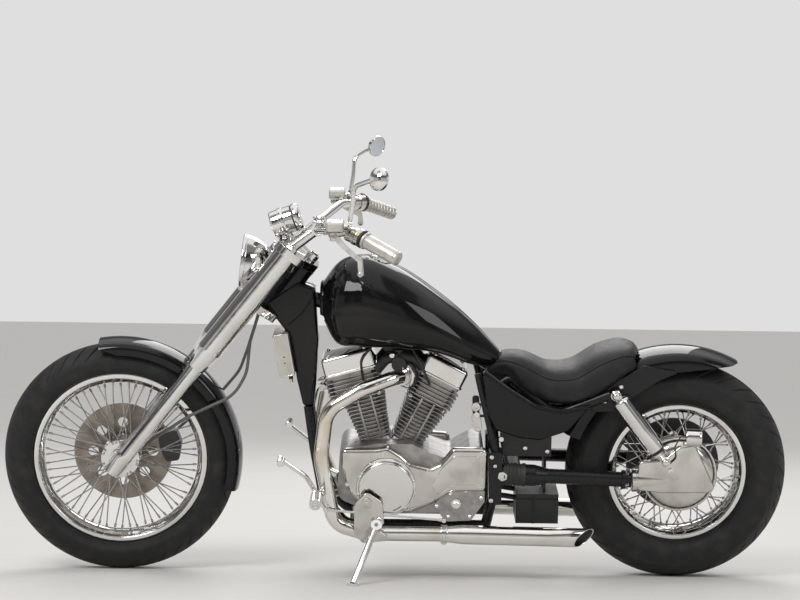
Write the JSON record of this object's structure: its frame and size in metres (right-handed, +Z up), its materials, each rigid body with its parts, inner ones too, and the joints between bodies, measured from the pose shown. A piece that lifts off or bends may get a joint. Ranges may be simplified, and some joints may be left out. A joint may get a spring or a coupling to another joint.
{
  "type": "cruiser motorcycle",
  "caption": "Long low custom cruiser motorcycle with a finned V-twin engine, raked fork, laced wheels, solo seat and drag pipes, leaning on its side stand.",
  "frame": {"origin": "bottom centre of the bounding box of the motorcycle as it stands on its side stand", "axes": "+X to the rear of the motorcycle, -Y to the rider's left, +Z up"},
  "size_m": [2.2867, 0.8872, 1.2992],
  "materials": {
    "black_paint": "gloss",
    "black_frame": "semi-gloss",
    "chrome": "polished",
    "cast_alloy": "satin",
    "polished_alloy": "polished",
    "tyre": "matt",
    "disc_steel": "brushed",
    "seat_leather": "grained",
    "black_plastic": "matt",
    "caliper_paint": "satin",
    "hose_rubber": "satin",
    "grip": "ribbed"
  },
  "bodies": {
    "frame": {"battery_box": "black_plastic", "carburettors": "cast_alloy", "cradle": "black_frame", "crankcase": "cast_alloy", "exhaust_pipes": "chrome", "fender_struts": "black_frame", "filler_cap": "chrome", "final_drive": "polished_alloy", "foot_controls": "polished_alloy", "front_cylinder": "cast_alloy", "fuel_tank": "black_paint", "left_engine_cover": "polished_alloy", "main_frame": "black_frame", "mufflers": "chrome", "rear_axle": "chrome", "rear_caliper": "caliper_paint", "rear_cylinder": "cast_alloy", "rear_fender": "black_paint", "rear_frame": "black_frame", "regulator_box": "chrome", "right_engine_cover": "polished_alloy", "rocker_covers": "chrome", "round_cover": "chrome", "seat": "seat_leather", "shock_absorbers": "chrome", "side_covers": "black_paint", "stand_bracket": "polished_alloy", "swingarm": "black_frame"},
    "fork": {"triple_clamps": "chrome", "fork_legs": "chrome", "fork_covers": "chrome", "front_axle": "chrome", "headlight": "chrome", "speedometer": "chrome", "handlebar": "chrome", "grips": "grip", "hand_controls": "polished_alloy", "mirrors": "chrome", "front_fender": "black_paint", "front_caliper": "caliper_paint", "fork_hoses": "hose_rubber"},
    "front_wheel": {"front_tyre": "tyre", "front_rim": "chrome", "front_hub": "chrome", "front_disc": "disc_steel"},
    "rear_wheel": {"rear_tyre": "tyre", "rear_rim": "chrome", "rear_hub": "chrome", "rear_disc": "disc_steel"},
    "side_stand": {"side_stand": "chrome"}
  },
  "joints": [
    {"name": "steering", "type": "hinge", "parent": "frame", "child": "fork", "pos_m": [-0.36634, 0.02892, 0.77502], "axis": [0.6152, -0.1368, 0.7764], "range_deg": [-36.5, 33.5]},
    {"name": "front_wheel_spin", "type": "hinge", "parent": "fork", "child": "front_wheel", "pos_m": [-0.80353, 0.10461, 0.33493], "axis": [-0.0207, 0.9817, 0.1894], "continuous": true},
    {"name": "rear_wheel_spin", "type": "hinge", "parent": "frame", "child": "rear_wheel", "pos_m": [0.82147, 0.10954, 0.31857], "axis": [-0.0001, 0.9848, 0.1736], "continuous": true},
    {"name": "side_stand_fold", "type": "hinge", "parent": "frame", "child": "side_stand", "pos_m": [-0.05093, -0.09578, 0.15793], "axis": [0.024, -0.8584, 0.5124], "range_deg": [0, 100]}
  ]
}
